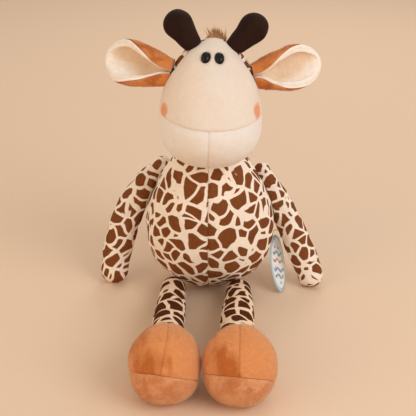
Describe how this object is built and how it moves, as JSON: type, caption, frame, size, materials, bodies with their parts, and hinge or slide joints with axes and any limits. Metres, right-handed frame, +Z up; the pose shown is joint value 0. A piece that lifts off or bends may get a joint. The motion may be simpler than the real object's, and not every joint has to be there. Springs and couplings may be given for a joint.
{
  "type": "plush giraffe",
  "caption": "Seated stuffed giraffe with a soft nodding head, floppy ears, hanging arms and legs, padded feet, a tail and a swinging hang tag.",
  "frame": {"origin": "middle of the flat under the seat, on the surface that it sits on", "axes": "+Z up, -Y to the giraffe's front, +X to its own left"},
  "size_m": [0.2622, 0.424, 0.3333],
  "materials": {
    "giraffe_print": "short plush printed with brown patches",
    "leg_print": "short plush printed with dark brown patches",
    "cream_velour": "cream velour",
    "pale_velour": "pale pinkish cream velour",
    "orange_velour": "orange short-nap plush",
    "sole_velour": "light orange plush",
    "dark_velour": "dark brown velour",
    "brown_hair": "long-pile brown plush",
    "black_plastic": "glossy black",
    "white_plastic": "plain",
    "tag_card": "coated card with a plain pattern"
  },
  "bodies": {
    "torso": {"torso": "giraffe_print", "tag_loop": "white_plastic"},
    "head": {"head_back": "giraffe_print", "face": "cream_velour", "jaw": "pale_velour", "mane": "brown_hair", "horn_left": "dark_velour", "horn_right": "dark_velour", "eye_left": "black_plastic", "eye_right": "black_plastic", "eye_washer_left": "white_plastic", "eye_washer_right": "white_plastic"},
    "ear_left": {"ear_back_left": "orange_velour", "ear_lining_left": "cream_velour"},
    "arm_left": {"arm_left": "giraffe_print"},
    "leg_left": {"leg_left": "leg_print"},
    "foot_left": {"foot_upper_left": "orange_velour", "foot_sole_left": "sole_velour"},
    "ear_right": {"ear_back_right": "orange_velour", "ear_lining_right": "cream_velour"},
    "arm_right": {"arm_right": "giraffe_print"},
    "leg_right": {"leg_right": "leg_print"},
    "foot_right": {"foot_upper_right": "orange_velour", "foot_sole_right": "sole_velour"},
    "tail": {"tail": "giraffe_print", "tail_tuft": "brown_hair"},
    "tag": {"tag_card": "tag_card"}
  },
  "joints": [
    {"name": "head_nod", "type": "hinge", "parent": "torso", "child": "head", "pos_m": [0, -0.024, 0.168], "axis": [1, 0, 0], "range_deg": [-25, 4]},
    {"name": "ear_flap_left", "type": "hinge", "parent": "head", "child": "ear_left", "pos_m": [0.04829, -0.05061, 0.26607], "axis": [-0.3784, 0.2358, 0.8951], "range_deg": [-18, 18], "stiffness_Nm_per_rad": 0.03},
    {"name": "arm_swing_left", "type": "hinge", "parent": "torso", "child": "arm_left", "pos_m": [0.05913, 0.01427, 0.13359], "axis": [-0.6428, -0.766, 0], "range_deg": [0, 100]},
    {"name": "leg_swing_left", "type": "hinge", "parent": "torso", "child": "leg_left", "pos_m": [0.03476, -0.05941, 0.0135], "axis": [1, 0, 0], "range_deg": [-30, 80]},
    {"name": "foot_bend_left", "type": "hinge", "parent": "leg_left", "child": "foot_left", "pos_m": [0.033, -0.196, 0.036], "axis": [1, 0, 0], "range_deg": [-20, 20]},
    {"name": "ear_flap_right", "type": "hinge", "parent": "head", "child": "ear_right", "pos_m": [-0.04063, -0.05061, 0.26948], "axis": [0.4459, 0.2358, 0.8634], "range_deg": [-18, 18], "stiffness_Nm_per_rad": 0.03},
    {"name": "arm_swing_right", "type": "hinge", "parent": "torso", "child": "arm_right", "pos_m": [-0.05573, 0.01096, 0.14175], "axis": [-0.6428, 0.766, 0], "range_deg": [0, 100]},
    {"name": "leg_swing_right", "type": "hinge", "parent": "torso", "child": "leg_right", "pos_m": [-0.04043, -0.05568, 0.0135], "axis": [1, 0, 0], "range_deg": [-30, 80]},
    {"name": "foot_bend_right", "type": "hinge", "parent": "leg_right", "child": "foot_right", "pos_m": [-0.037, -0.196, 0.036], "axis": [1, 0, 0], "range_deg": [-20, 20]},
    {"name": "tail_swing", "type": "hinge", "parent": "torso", "child": "tail", "pos_m": [0, 0.05629, 0.03245], "axis": [1, 0, 0], "range_deg": [-20, 70]},
    {"name": "tag_swing", "type": "hinge", "parent": "torso", "child": "tag", "pos_m": [0.07792, 0.003, 0.05], "axis": [1, 0, 0], "range_deg": [-10, 24]}
  ]
}
